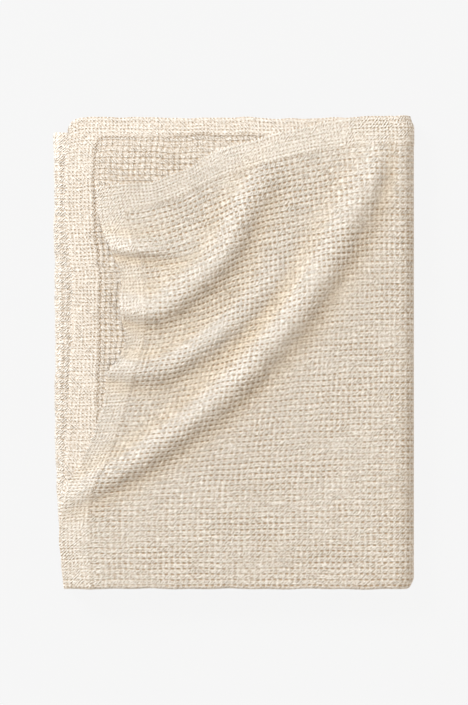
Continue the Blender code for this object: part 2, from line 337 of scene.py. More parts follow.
def reading_weights(at, count):
    """Weights of a smooth reading between count + 1 points at places 0 to count."""
    weights = np.zeros((len(at), count + 3))
    cell = np.clip(np.floor(at).astype(int), 0, count - 1)
    t = at - cell
    rows = np.arange(len(at))
    weights[rows, cell] = 0.5 * (-t + 2 * t ** 2 - t ** 3)
    weights[rows, cell + 1] = 0.5 * (2 - 5 * t ** 2 + 3 * t ** 3)
    weights[rows, cell + 2] = 0.5 * (t + 4 * t ** 2 - 3 * t ** 3)
    weights[rows, cell + 3] = 0.5 * (-t ** 2 + t ** 3)
    inner = weights[:, 1:-1].copy()  # the points past the two ends carry on in a straight line
    inner[:, 0] += 2 * weights[:, 0]
    inner[:, 1] -= weights[:, 0]
    inner[:, -1] += 2 * weights[:, -1]
    inner[:, -2] -= weights[:, -1]
    return inner


def stations(sections, places, cells):
    """Rows of station, share and place along one folding, for places in the given cells.

    A station is the run's number, and half more in the turn after it.
    """
    starts = np.concatenate([[0], np.cumsum([count for _, _, count in sections])])
    part = np.searchsorted(starts, cells, side="right") - 1
    station = np.array([run + 0.5 * (kind == "turn") for run, kind, _ in sections])[part]
    share = (places - starts[part]) / np.diff(starts)[part]
    return np.stack([station, share, places], axis=-1)


def weave_lines(sections, first, last):
    """The mesh's lines along one folding, four to a cell, as rows of station, share and place."""
    cells = np.arange(first, last)
    places = np.append((cells[:, None] + np.array(LINES)).ravel(), last)
    of_cell = np.append(np.repeat(cells, len(LINES)), last - 1)
    return stations(sections, places, of_cell)


def wave(place, key):
    """A slow uneven wave between about -1 and 1, different for each key."""
    slow = np.sin(0.31 * place + 1.7 * key)
    middling = np.sin(0.73 * place + 2.9 * key + 1.0)
    quick = np.sin(1.57 * place + 4.3 * key + 2.0)
    return 0.5 * slow + 0.3 * middling + 0.2 * quick


def folded(station, share, near, far, pitch, outward):
    """Where points come to along a folding, and how high. Everything may be an array."""
    run = np.floor(station).astype(int)
    turns = station > run
    level, centre, radius, rises, faces = (FOLDING[run, k] for k in range(5))
    away = run % 2 == 0
    start, end = np.where(away, near, far), np.where(away, far, near)
    size = radius * pitch + faces * outward
    onward = np.where((far > near) == away, 1.0, -1.0)
    flat_place = start + share * (end - start)
    turn_place = end + onward * size * np.sin(math.pi * share)
    flat_height = level * pitch + np.where(away, 1.0, -1.0) * outward
    turn_height = centre * pitch - rises * size * np.cos(math.pi * share)
    return np.where(turns, turn_place, flat_place), np.where(turns, turn_height, flat_height)


def corner_draw(cell_a, y):
    """How far the layers' ends draw back at the cloth's rounded corners."""
    from_edge = np.minimum(cell_a, ALL_ACROSS - cell_a) * CELL
    inside = np.clip(1 - from_edge / CORNER_ROUND, 0.0, 1.0)
    back = CORNER_ROUND * (1 - np.sqrt(1 - inside ** 2))
    return back * np.exp(np.minimum(y - FIRST_END_Y[0] * MM, 0.0) / CORNER_FADE)


def pack_points(cross, down, outward):
    """Places of the cloth's points. cross and down are lines, outward a value for each point."""
    station_a, share_a, cell_a = (cross[None, :, k] for k in range(3))
    station_b, share_b = (down[:, None, k] for k in range(2))
    run_a, run_b = np.floor(station_a), np.floor(station_b)
    place = run_a + np.where(station_a > run_a, 1.0, share_a)
    ends = [end_line(table, place)
            for table in (FIRST_END_Y, FOLDED_END_Y, FOLDED_END_Y, SECOND_END_Y)]
    near = np.select([run_b == k for k in range(4)], ends) + END_WAVE * wave(cell_a, run_b)
    y, level = folded(station_b, share_b, near, lower_axis(place), LAYER_PITCH, outward)
    y = y - corner_draw(cell_a, y)
    edges = [np.interp(y / MM, LEFT_EDGES[:, 0], LEFT_EDGES[:, k]) * MM for k in (1, 2, 3)]
    edges[0] = edges[0] + END_WAVE * wave(y / WAVE_STEP, run_b + 5)
    edges[1] = edges[1] + END_WAVE * wave(y / WAVE_STEP, run_b + 9)
    turn_x = edges[2] + BUNDLE_PITCH - LIFT
    left = np.select([run_a == k for k in range(4)], [edges[0], turn_x, turn_x, edges[1]])
    left = np.where((run_a < 1) & (run_b < 1), SIDE_CURVE[-1][0], left)
    x, z = folded(station_a, share_a, left, right_axis(y), BUNDLE_PITCH, level - 2 * LAYER_PITCH)
    points = np.stack([x, y, z - LIFT], axis=-1)
    top_a, top_b = np.flatnonzero(cross[:, 0] == 0), np.flatnonzero(down[:, 0] == 0)
    if len(top_a) and len(top_b):
        at = np.ix_(top_b, top_a)
        points[at] = top_layer_points(cross[top_a, 2], down[top_b, 2], outward[at])
    return uneven(points)


def uneven(points):
    """The same points after the pack has settled a little unevenly."""
    x, y, z = points[..., 0], points[..., 1], points[..., 2]
    high = 1 + WARP * (np.sin(23 * x + 9 * y + 0.6) * np.sin(17 * y - 8 * x + 1.1))
    high = high - END_SAG * eased((y - END_SAG_FROM) / END_SAG_OVER)
    high = high - LEFT_SAG * eased((LEFT_SAG_FROM - x) / LEFT_SAG_OVER)
    aside = SHIFT * (np.sin(190 * y + 60 * x) + np.sin(120 * x - 95 * y + 2.0))
    along_y = SHIFT * (np.sin(130 * x - 70 * y + 0.5) + np.sin(105 * y + 58 * x + 1.3))
    inside = eased((RIGHT_FOLD_X - STILL_EDGE - x) / STILL_OVER)
    return np.stack([x + aside * inside, y + along_y * inside, z * high], axis=-1)


def top_layer_points(a, b, outward):
    """Points of the pulled top layer at cell places a and b, off its middle by outward."""
    read_a = reading_weights(a, CELLS_ACROSS[0][2])
    read_b = reading_weights(b, CELLS_DOWN[0][2])
    x, y = (read_b @ corners @ read_a.T for corners in TOP_CELLS)
    step = RISE.STEP
    slope_x = (RISE.read(x + step, y) - RISE.read(x - step, y)) / (2 * step)
    slope_y = (RISE.read(x, y + step) - RISE.read(x, y - step)) / (2 * step)
    off = outward / np.sqrt(1 + slope_x ** 2 + slope_y ** 2)
    z = TOP_LEVEL + RISE.read(x, y) + off
    return np.stack([x - off * slope_x, y - off * slope_y, z], axis=-1)


TOP_CELLS = settle_top_cells()


def uneven_pits():
    """How deep each pit is beside a full one, as uneven as the real weave."""
    corners = (ALL_DOWN + 1, ALL_ACROSS + 1)
    patches = smeared(rng.normal(size=corners), PATCH_REACH)
    share = USUAL_PIT + PATCHY_PIT * patches / patches.std() + UNEVEN_PIT * rng.normal(size=corners)
    share = np.clip(share, *PIT_RANGE)
    share[LEFT_FOLD_CELLS] *= LEFT_FOLD_PIT
    return share


PIT_SHARE = uneven_pits()


def strays(seam, place):
    """How far a seam strays inwards from its line, in cells."""
    return HEM_WANDER * wave(place / 3, seam)


def from_seam(a, b):
    """How many cells a place lies inside the hems' seam, less than 0 on the hems."""
    side = np.minimum(a, ALL_ACROSS - a) - SIDE_HEM - strays(SIDE_SEAM, b)
    end = np.minimum(b - FIRST_HEM, ALL_DOWN - b - LAST_HEM) - strays(END_SEAM, a)
    return -HEM_CORNER * np.logaddexp(-side / HEM_CORNER, -end / HEM_CORNER)


def hem_share(a, b):
    """1 on the hems and 0 off them."""
    return eased(0.5 - from_seam(a, b) / HEM_SLOPE)


def weave_share(a, b, face):
    """How much of the weave's relief a place keeps."""
    return 1 - (1 - face.hem_weave) * hem_share(a, b)


def pit_share(a, b):
    """How deep the pit nearest to each place is beside a full one."""
    return PIT_SHARE[np.rint(b).astype(int), np.rint(a).astype(int)]


def waffle_relief(a, b, face):
    """Height of the woven face over the cloth's usual face, at cell places a and b."""
    from_column, from_row = np.abs(a - np.rint(a)), np.abs(b - np.rint(b))
    column = np.exp(-((from_column / COLUMN_WIDTH) ** 2))
    row = np.exp(-((from_row / ROW_WIDTH) ** 2))
    pit = np.exp(-((from_column / PIT_WIDTH) ** 4)) * np.exp(-((from_row / PIT_HEIGHT) ** 2))
    seam = np.exp(-((from_seam(a, b) / SEAM_WIDTH) ** 2))
    hem = face.hem_rise * hem_share(a, b) - face.seam_depth * seam
    weave = face.pit_depth * pit * pit_share(a, b) + face.groove_depth * np.maximum(row, column)
    return hem - weave * weave_share(a, b, face)


def grain(across, down, plain, *closer):
    """How many lines each cell gets, across and down. closer holds rows of ranges and counts."""
    counts = np.empty((down[1] - down[0], across[1] - across[0], 2), int)
    counts[:] = plain
    for from_a, to_a, from_b, to_b, lines in closer:
        rows = slice(max(0, from_b - down[0]), max(0, to_b - down[0]))
        columns = slice(max(0, from_a - across[0]), max(0, to_a - across[0]))
        counts[rows, columns] = np.maximum(counts[rows, columns], lines)
    return counts


def stretch(used, first, last):
    """Used points of a lattice on a straight line from one to another, numbered along its rows."""
    (j, i), (end_j, end_i) = first, last
    wide = used.shape[1]
    if j == end_j:
        found = j * wide + min(i, end_i) + np.flatnonzero(used[j, min(i, end_i):max(i, end_i) + 1])
    else:
        found = i + wide * (min(j, end_j) + np.flatnonzero(used[min(j, end_j):max(j, end_j) + 1, i]))
    return found.tolist()[::1 if (end_j, end_i) > (j, i) else -1]


def cells_with(counts, lines):
    """Where the cells that get these lines start on the lattice of fine lines."""
    return (FINE * place[:, None, None] for place in np.nonzero((counts == lines).all(axis=2)))


def used_points(counts):
    """Which points of the lattice of fine lines the cells need."""
    cells_b, cells_a = counts.shape[:2]
    used = np.zeros((FINE * cells_b + 1, FINE * cells_a + 1), bool)
    for lines in np.unique(counts.reshape(-1, 2), axis=0):
        j, i = cells_with(counts, lines)
        steps_a, steps_b = (np.arange(0, FINE + 1, FINE // count) for count in lines)
        used[j + steps_b[:, None], i + steps_a] = True
    return used


def woven_faces(used, counts):
    """Faces of the woven side. A cell beside a finer one takes its points in."""
    wide, faces = used.shape[1], []
    for lines in np.unique(counts.reshape(-1, 2), axis=0):
        step_a, step_b = FINE // lines
        j, i = cells_with(counts, lines)
        v, u = np.broadcast_arrays(j + np.arange(0, FINE, step_b)[:, None],
                                   i + np.arange(0, FINE, step_a))
        v, u = v.ravel(), u.ravel()
        far_v, far_u = v + step_b, u + step_a
        extra = np.zeros(v.shape, bool)
        for k in range(1, step_a):
            extra |= used[v, u + k] | used[far_v, u + k]
        for k in range(1, step_b):
            extra |= used[v + k, u] | used[v + k, far_u]
        corners = np.stack([v * wide + u, far_v * wide + u,
                            far_v * wide + far_u, v * wide + far_u], axis=-1)
        faces += corners[~extra].tolist()
        for at in np.flatnonzero(extra):
            near, far = (v[at], u[at]), (far_v[at], far_u[at])
            round_it = (near, (far[0], near[1]), far, (near[0], far[1]), near)
            sides = (stretch(used, *ends)[:-1] for ends in zip(round_it, round_it[1:]))
            faces.append(sum(sides, []))
    return faces


def wall_faces(used, counts, at_edge, first_back):
    """Faces between the woven side and the plain one, rounded where the cloth really ends."""
    high, wide = counts.shape[:2]
    border = [((0, i), (0, i + 1)) for i in range(wide)]
    border += [((high, i + 1), (high, i)) for i in range(wide)]
    border += [((j + 1, 0), (j, 0)) for j in range(high)]
    border += [((j, wide), (j + 1, wide)) for j in range(high)]
    size, faces = used.size, []
    for ends in border:
        fine = stretch(used, *((FINE * j, FINE * i) for j, i in ends))
        start_back, end_back = (first_back + j * (wide + 1) + i for j, i in ends)
        rims = [size + k for k in fine if at_edge[k]]
        if len(rims) == len(fine):
            faces += [(p, q, size + q, size + p) for p, q in zip(fine, fine[1:])]
            faces.append((*rims, end_back, start_back))
        else:
            after = [size + fine[-1]] if at_edge[fine[-1]] else []
            before = [size + fine[0]] if at_edge[fine[0]] else []
            faces.append((*fine, *after, end_back, start_back, *before))
    return faces


def cloth_faces(counts, at_edge):
    """Faces of a closed sheet. Its woven points come first, then its rim points and plain ones."""
    high, wide = counts.shape[:2]
    used = used_points(counts)
    first_back = 2 * used.size
    corner = first_back + (np.arange(high)[:, None] * (wide + 1) + np.arange(wide)).ravel()
    under = np.stack([corner, corner + 1, corner + wide + 2, corner + wide + 1], axis=-1)
    walls = wall_faces(used, counts, at_edge, first_back)
    return woven_faces(used, counts) + under.tolist() + walls


def past_the_edge(lines, sections):
    """The same lines, the outermost moved a little past the cloth's edge."""
    lines = lines.copy()
    if lines[0, 2] == 0:
        lines[0, 1:] -= EDGE_ROUND / sections[0][2], EDGE_ROUND
    if lines[-1, 2] == sum(count for _, _, count in sections):
        lines[-1, 1:] += EDGE_ROUND / sections[-1][2], EDGE_ROUND
    return lines


def write_measures(mesh, points, cells):
    """Stores what the materials need: each point's cell, pit, distance from the seam and shelter."""
    loops = np.zeros(len(mesh.loops), int)
    mesh.loops.foreach_get("vertex_index", loops)
    mesh.uv_layers.new(name=WEAVE_MAP).data.foreach_set("uv", cells[loops].ravel())
    a, b = cells.T
    on_top = (a <= CELLS_ACROSS[0][2]) & (b <= CELLS_DOWN[0][2])
    shelter = np.where(on_top, SHELTER.read(*points[:, :2].T), 0.0)
    for title, values in zip(MEASURES, (pit_share(a, b), from_seam(a, b), shelter)):
        mesh.attributes.new(title, "FLOAT", "POINT").data.foreach_set("value", values)


def make_cloth(name, across, down, counts, face):
    """A closed sheet over a stretch of cells, one face woven and fine and the other plain.

    counts holds each cell's lines across and down.
    """
    cross, lines = weave_lines(CELLS_ACROSS, *across), weave_lines(CELLS_DOWN, *down)
    a, b = np.broadcast_arrays(cross[None, :, 2], lines[:, None, 2])
    coarse = np.s_[::FINE, ::FINE]
    woven = pack_points(cross, lines, face.up * (CLOTH / 2 + waffle_relief(a, b, face)))
    rim_lines = past_the_edge(cross, CELLS_ACROSS), past_the_edge(lines, CELLS_DOWN)
    rim = pack_points(*rim_lines, np.zeros(a.shape))
    level = np.full(a[coarse].shape, -face.up * CLOTH / 2)
    plain = pack_points(cross[::FINE], lines[::FINE], level)
    points = np.concatenate([part.reshape(-1, 3) for part in (woven, rim, plain)])
    cells = np.stack([a, b], axis=-1)
    cells = np.concatenate([part.reshape(-1, 2) for part in (cells, cells, cells[coarse])])
    at_edge = ((a == 0) | (a == ALL_ACROSS) | (b == 0) | (b == ALL_DOWN)).ravel()
    faces = cloth_faces(counts, at_edge)

    # Points that no face needs are left out, and the others are numbered anew
    corners = np.concatenate([np.array(round_it) for round_it in faces])
    kept = np.zeros(len(points), bool)
    kept[corners] = True
    number = np.cumsum(kept) - 1
    ends = np.cumsum([len(round_it) for round_it in faces])[:-1]
    faces = [round_it.tolist()[::face.up] for round_it in np.split(number[corners], ends)]

    mesh = bpy.data.meshes.new(name)
    mesh.from_pydata(points[kept].tolist(), [], faces)
    write_measures(mesh, points[kept], cells[kept])
    mesh.shade_smooth()
    piece = bpy.data.objects.new(name, mesh)
    bpy.context.scene.collection.objects.link(piece)
    return piece


def sew_hems(name, face, down_side, along_end, material):
    """Stitches of the hems' seam round one corner of the cloth, so many cells each way from it."""
    middles = np.arange(-down_side, along_end, STITCH_STEP)
    path = (middles[:, None] + np.array((-STITCH / 2, STITCH / 2))).ravel()
    side, end = (HEM_CORNER * np.logaddexp(0, way / HEM_CORNER) for way in (path, -path))
    end = end + strays(END_SEAM, SIDE_HEM + side)
    b = FIRST_HEM + end if face is OUTER_FACE else ALL_DOWN - LAST_HEM - end
    a = SIDE_HEM + side + strays(SIDE_SEAM, b)
    cross = stations(CELLS_ACROSS, a, a.astype(int))
    lines = stations(CELLS_DOWN, b, b.astype(int))
    heights = np.full((len(b), len(a)), face.up * (CLOTH / 2 + face.hem_rise / 2))
    points = pack_points(cross, lines, heights)[range(len(b)), range(len(a))]
    stitches = []
    for start, stop in zip(points[::2], points[1::2]):
        way = mathutils.Vector(stop - start)
        bpy.ops.mesh.primitive_uv_sphere_add(segments=8, ring_count=6, location=(start + stop) / 2)
        stitch = bpy.context.object
        stitch.scale = (THREAD, THREAD, way.length / 2)
        stitch.rotation_euler = way.to_track_quat("Z", "Y").to_euler()
        stitches.append(stitch)
    bpy.ops.object.select_all(action="DESELECT")
    for stitch in stitches:
        stitch.select_set(True)
    bpy.ops.object.join()
    bpy.ops.object.transform_apply(location=True, rotation=True, scale=True)
    bpy.ops.object.shade_smooth()
    seam = bpy.context.object
    seam.name = seam.data.name = name
    seam.data.materials.append(material)
    return seam


def add_node(tree, kind, **settings):
    """A node of the kind, with its settings."""
    node = tree.nodes.new("ShaderNode" + kind)
    for name, value in settings.items():
        setattr(node, name, value)
    return node


def feed(tree, node, *values):
    """Links or sets a node's first inputs."""
    for socket, value in zip(node.inputs, values):
        if isinstance(value, bpy.types.NodeSocket):
            tree.links.new(value, socket)
        elif value is not None:
            socket.default_value = value
    return node


def maths(tree, operation, *values, clamped=False):
    """The result of a sum on sockets and numbers."""
    node = add_node(tree, "Math", operation=operation, use_clamp=clamped)
    return feed(tree, node, *values).outputs[0]


def fading(tree, value, full, gone):
    """1 up to full, and 0 from gone on."""
    node = add_node(tree, "MapRange", interpolation_type="SMOOTHSTEP")
    feed(tree, node, value, full, gone, 1.0, 0.0)
    return node.outputs["Result"]


def from_line(tree, place):
    """How far a place is from the nearest line between cells, in cells."""
    part = maths(tree, "FRACT", maths(tree, "ADD", place, 0.5))
    return maths(tree, "ABSOLUTE", maths(tree, "SUBTRACT", part, 0.5))


def noise(tree, place, scale, detail=2.0, rough=0.5):
    """Values about 0 that change smoothly over a place."""
    node = add_node(tree, "TexNoise")
    tree.links.new(place, node.inputs["Vector"])
    node.inputs["Scale"].default_value = scale
    node.inputs["Detail"].default_value = detail
    node.inputs["Roughness"].default_value = rough
    return maths(tree, "SUBTRACT", node.outputs["Fac"], 0.5)


def new_group(name, inputs, outputs):
    """An empty node group with named sockets, what it is given, and where its results go."""
    tree = bpy.data.node_groups.new(name, "ShaderNodeTree")
    for way, sockets in (("INPUT", inputs), ("OUTPUT", outputs)):
        for title, kind in sockets:
            tree.interface.new_socket(title, in_out=way, socket_type="NodeSocket" + kind)
    return tree, tree.nodes.new("NodeGroupInput").outputs, tree.nodes.new("NodeGroupOutput")


# The weave's pattern in the materials. Fades are distances from a line, in cells
PIT_CORE = (0.6, 0.3)  # how much of a pit's width and height is wholly dark
HEM_DRAW = 1.5  # how much closer together the dots of a hem lie
DOT_WIDE, DOT_HIGH = (0.10, 0.34), (0.06, 0.26)
ROW_FADE, COLUMN_FADE = (0.03, 0.22), (0.0, 0.18)
BAND_FADE, RIM_HIGHLIGHT_FADE = (0.08, 0.24), (0.28, 0.42)
HEM_GROOVE, HEM_YARN, HEM_BAND = -0.7, -0.25, 0.8  # how the pattern changes on a hem
TWILL_TURN, TWILL_PART, LOOSE_TWILL, USUAL_TWILL = 4 * math.pi, 0.5, 2.4, 0.75
DRIFT, DRIFT_SCALE, LOOSE_SCALE = 5.0, 0.5, 0.45
STREAK_ACROSS, STREAK_ALONG, STREAK_PART = 3.3, 1.1, 3.2
FUZZ_SCALE, FUZZ_PART, RIM_HIGHLIGHT_PART = 4.2, 2.6, 0.25
GROOVE_DEPTH, PIT_DEPTH = 0.6, 1.2


def weave_pits(tree, given, across, down, from_column, from_row):
    """1 in the pits and 0 off them. A hem's doubled cloth is pulled up, so its dots lie closer."""
    wide, high = given["Pit Width"], given["Pit Height"]
    core_wide, core_high = (maths(tree, "MULTIPLY", size, core)
                            for size, core in zip((wide, high), PIT_CORE))
    single = maths(tree, "MULTIPLY", fading(tree, from_column, core_wide, wide),
                   fading(tree, from_row, core_high, high))
    close_column, close_row = (from_line(tree, maths(tree, "MULTIPLY", place, HEM_DRAW))
                               for place in (across, down))
    double = maths(tree, "MULTIPLY", fading(tree, close_column, *DOT_WIDE),
                   fading(tree, close_row, *DOT_HIGH))
    gained = maths(tree, "SUBTRACT", double, single)
    pit = maths(tree, "MULTIPLY_ADD", given["Hem Share"], gained, single)
    return maths(tree, "MULTIPLY", pit, given["Pit Share"])


def weave_grooves(tree, given, from_column, from_row):
    """How much of a groove there is along the rows and columns of cells."""
    row = maths(tree, "MULTIPLY", fading(tree, from_row, *ROW_FADE), given["Row Share"])
    column = maths(tree, "MULTIPLY", fading(tree, from_column, *COLUMN_FADE), given["Column Share"])
    off_hem = maths(tree, "MULTIPLY_ADD", given["Hem Share"], HEM_GROOVE, 1.0)
    return maths(tree, "MULTIPLY", maths(tree, "MAXIMUM", row, column), off_hem)


def weave_strands(tree, given, across, down, from_row):
    """Yarns that lie slantwise on the bands between the rows of pits, two to a cell."""
    cells, hem = given["Cells"], given["Hem Share"]
    slant, aslant = maths(tree, "ADD", across, down), maths(tree, "SUBTRACT", across, down)
    drift = maths(tree, "MULTIPLY", noise(tree, cells, DRIFT_SCALE, 1.0), DRIFT)
    twill = maths(tree, "SINE", maths(tree, "MULTIPLY_ADD", slant, TWILL_TURN, drift))
    loose = maths(tree, "MULTIPLY_ADD", noise(tree, cells, LOOSE_SCALE), LOOSE_TWILL, USUAL_TWILL)
    streaks = feed(tree, add_node(tree, "CombineXYZ"),
                   maths(tree, "MULTIPLY", slant, STREAK_ACROSS),
                   maths(tree, "MULTIPLY", aslant, STREAK_ALONG)).outputs[0]
    yarns = maths(tree, "MULTIPLY", maths(tree, "MULTIPLY", twill, loose), TWILL_PART)
    yarns = maths(tree, "MULTIPLY_ADD", noise(tree, streaks, 1.0, 0.0), STREAK_PART, yarns)
    band = maths(tree, "SUBTRACT", 1.0, fading(tree, from_row, *BAND_FADE))
    on_hem = maths(tree, "MULTIPLY", hem, HEM_BAND)
    strand = maths(tree, "MULTIPLY", yarns, maths(tree, "MAXIMUM", band, on_hem))
    fuzz = noise(tree, cells, FUZZ_SCALE, 1.0, 0.6)
    strand = maths(tree, "MULTIPLY_ADD", fuzz, FUZZ_PART, strand)
    # The yarn at the edges of the bands beside the pits stands up in the bumps and is painted paler:
    # painted highlight.
    rim = maths(tree, "MULTIPLY", fading(tree, from_row, *RIM_HIGHLIGHT_FADE), band)
    strand = maths(tree, "MULTIPLY_ADD", rim, RIM_HIGHLIGHT_PART, strand)
    kept = maths(tree, "MULTIPLY_ADD", hem, HEM_YARN, 1.0)
    return maths(tree, "MULTIPLY", strand, maths(tree, "MULTIPLY", kept, given["Yarn Share"]))


def waffle_group():
    """Masks and heights of the waffle weave, from the cloth's cells."""
    shares = ("Pit Share", "Hem Share", "Pit Width", "Pit Height", "Row Share", "Column Share",
              "Yarn Share")
    tree, given, result = new_group(
        "waffle_weave", [("Cells", "Vector")] + [(title, "Float") for title in shares],
        [(title, "Float") for title in ("Pit", "Groove", "Strand", "Height")])
    split = feed(tree, add_node(tree, "SeparateXYZ"), given["Cells"])
    across, down = split.outputs["X"], split.outputs["Y"]
    from_column, from_row = from_line(tree, across), from_line(tree, down)
    pit = weave_pits(tree, given, across, down, from_column, from_row)
    groove = weave_grooves(tree, given, from_column, from_row)
    strand = weave_strands(tree, given, across, down, from_row)
    height = maths(tree, "SUBTRACT", strand, maths(tree, "MULTIPLY", groove, GROOVE_DEPTH))
    height = maths(tree, "SUBTRACT", height, maths(tree, "MULTIPLY", pit, PIT_DEPTH))
    feed(tree, result, pit, groove, strand, height)
    return tree


def mixed(tree, share, one, other, blend="MIX"):
    """One colour with a share of the other."""
    node = add_node(tree, "Mix", data_type="RGBA", blend_type=blend)
    for name, value in (("Factor", share), ("A", one), ("B", other)):
        socket = next(s for s in node.inputs if s.name == name and s.enabled)
        if isinstance(value, bpy.types.NodeSocket):
            tree.links.new(value, socket)
        else:
            socket.default_value = value
    return next(s for s in node.outputs if s.enabled)


CREAM = (0.98, 0.93, 0.855, 1.0)
# Painted shade: the tan of the pits' hollows. The seam's line takes it too.
PIT_SHADE_AND_SEAM_TAN = (0.52, 0.375, 0.24, 1.0)
# Painted shade: cream as it looks in shade, mixed in between the yarns and in the grooves.
SHADED_CREAM = (0.565, 0.46, 0.35, 1.0)
# Painted warm shade, multiplied into the swags' troughs.
WARM = (1.0, 0.925, 0.81, 1.0)  # light that has gone to and fro between the sides of a fold
HEM_FADE, SEAM_FADE = (-0.3, 0.0), (0.03, 0.13)  # in cells from the seam
BATCH_SCALE, BATCH_PART = 22.0, 0.3  # slow changes of shade over the cloth
STRAND_PART, GROOVE_PART = -0.65, 0.4
# Painted light on the swags: the cloth is painted paler on their crests and in their troughs. WARM_PART
# is how much painted warm shade the troughs get.
PAINTED_SWAG_LIGHT_BY, PAINTED_SWAG_PALER, WARM_PART = 0.35, -0.28, 0.75  # what lies on or between the swags
THREAD_SCALE, THREAD_PART, THREAD_SHADE = 900.0, 1.6, 0.1

# How the cotton looks on one face: its pits, grooves, seam, shade, yarn and how high it stands
Look = collections.namedtuple("Look", "pit_width pit_height pit_tone row_share column_share "
                              "seam_tone usual_shade hem_light yarn_share relief")
# usual_shade is the cloth's share of painted shade, hem_light the share taken off on the hems as painted
# light, and pit_tone how dark the pits are painted.
LOOKS = {
    OUTER_FACE: Look(pit_width=0.36, pit_height=0.22, pit_tone=1.2, row_share=0.10,
                     column_share=0.20, seam_tone=0.2, usual_shade=0.40, hem_light=0.06,
                     yarn_share=1.1, relief=0.8 * MM),
    OTHER_FACE: Look(pit_width=0.28, pit_height=0.22, pit_tone=0.95, row_share=0.60,
                     column_share=0.75, seam_tone=0.9, usual_shade=0.54, hem_light=0.14,
                     yarn_share=0.95, relief=0.65 * MM),
}


def dull_material(name):
    """A dull fibrous material, and its nodes and shader."""
    material = bpy.data.materials.new(name)
    material.use_nodes = True
    shader = material.node_tree.nodes["Principled BSDF"]
    shader.inputs["Roughness"].default_value = 0.95
    shader.inputs["Specular IOR Level"].default_value = 0.15
    shader.inputs["Sheen Weight"].default_value = 0.05
    shader.inputs["Sheen Roughness"].default_value = 0.6
    return material, material.node_tree, shader


def thread_material():
    """Undyed sewing thread, paler than the cloth."""
    material, tree, shader = dull_material("cotton_thread")
    flecks = noise(tree, add_node(tree, "TexCoord").outputs["Object"], THREAD_SCALE, 1.0)
    share = maths(tree, "MULTIPLY_ADD", flecks, THREAD_PART, THREAD_SHADE, clamped=True)
    tree.links.new(mixed(tree, share, CREAM, SHADED_CREAM), shader.inputs["Base Color"])
    return material


def socket_title(name):
    """A field's or measure's name as it stands on a socket."""
    return name.replace("_", " ").title()


def cotton_group():
    """Colour and bumps of undyed waffle cotton, with uneven yarn. Its pits are painted tan, and its
    grooves and the gaps between yarns darker, all painted shade; its swags get painted light and painted
    warm shade.
    """
    values = [(socket_title(name), "Float") for name in MEASURES + Look._fields]
    tree, given, result = new_group("waffle_cotton", [("Cells", "Vector"), ("Place", "Vector")] + values,
                                    [("Color", "Color"), ("Normal", "Vector")])
    hem = fading(tree, given["From Seam"], *HEM_FADE)
    weave = add_node(tree, "Group", node_tree=waffle_group())
    taken = ("Pit Width", "Pit Height", "Row Share", "Column Share", "Yarn Share")
    feed(tree, weave, given["Cells"], given["Pit Share"], hem, *(given[title] for title in taken))
    batch = maths(tree, "MULTIPLY", noise(tree, given["Place"], BATCH_SCALE, 3.0), BATCH_PART)
    # Crests and troughs of the swags are painted paler: painted highlight on the crests and painted
    # light in the troughs.
    off_level = maths(tree, "ABSOLUTE", given["Shelter"])
    painted_swag_light = maths(tree, "MULTIPLY", off_level, PAINTED_SWAG_LIGHT_BY, clamped=True)
    # The hems are painted paler: painted light.
    shade = maths(tree, "SUBTRACT", given["Usual Shade"],
                  maths(tree, "MULTIPLY", hem, given["Hem Light"]))
    shade = maths(tree, "MULTIPLY_ADD", painted_swag_light, PAINTED_SWAG_PALER, shade)
    # The yarn darkens or pales the cloth toward SHADED_CREAM: painted shade between the yarns, beside
    # their real bumps.
    shade = maths(tree, "MULTIPLY_ADD", weave.outputs["Strand"], STRAND_PART, shade)
    shade = maths(tree, "ADD", shade, batch, clamped=True)
    colour = mixed(tree, shade, CREAM, SHADED_CREAM)
    # The grooves between the cells are painted darker: painted shade.
    groove = maths(tree, "MULTIPLY", weave.outputs["Groove"], GROOVE_PART)
    colour = mixed(tree, groove, colour, SHADED_CREAM)
    # The pits are painted tan: painted shade in their hollows, beside their real bumps.
    tone = maths(tree, "MULTIPLY", weave.outputs["Pit"], given["Pit Tone"])
    colour = mixed(tree, maths(tree, "MINIMUM", tone, 1.0), colour, PIT_SHADE_AND_SEAM_TAN)
    seam = fading(tree, maths(tree, "ABSOLUTE", given["From Seam"]), *SEAM_FADE)
    seam = maths(tree, "MULTIPLY", seam, given["Seam Tone"])
    colour = mixed(tree, seam, colour, PIT_SHADE_AND_SEAM_TAN)
    # The troughs are painted warmer: painted warm shade where light bounces in the folds.
    shelter = maths(tree, "MULTIPLY", given["Shelter"], WARM_PART, clamped=True)
    colour = mixed(tree, shelter, colour, WARM, "MULTIPLY")
    bump = add_node(tree, "Bump")
    bump.inputs["Strength"].default_value = 1.0
    tree.links.new(given["Relief"], bump.inputs["Distance"])
    tree.links.new(maths(tree, "SUBTRACT", weave.outputs["Height"], seam), bump.inputs["Height"])
    feed(tree, result, colour, bump.outputs["Normal"])
    return tree


def cotton_material(name, group, look):
    """Undyed cotton as it looks on one face of the cloth."""
    material, tree, shader = dull_material(name)
    cotton = add_node(tree, "Group", node_tree=group)
    sources = {"Cells": add_node(tree, "UVMap", uv_map=WEAVE_MAP).outputs["UV"],
               "Place": add_node(tree, "TexCoord").outputs["Object"]}
    for measure in MEASURES:
        stored = add_node(tree, "Attribute", attribute_name=measure)
        sources[socket_title(measure)] = stored.outputs["Fac"]
    for title, socket in sources.items():
        tree.links.new(socket, cotton.inputs[title])
    for field, value in look._asdict().items():
        cotton.inputs[socket_title(field)].default_value = value
    tree.links.new(cotton.outputs["Color"], shader.inputs["Base Color"])
    tree.links.new(cotton.outputs["Normal"], shader.inputs["Normal"])
    return material


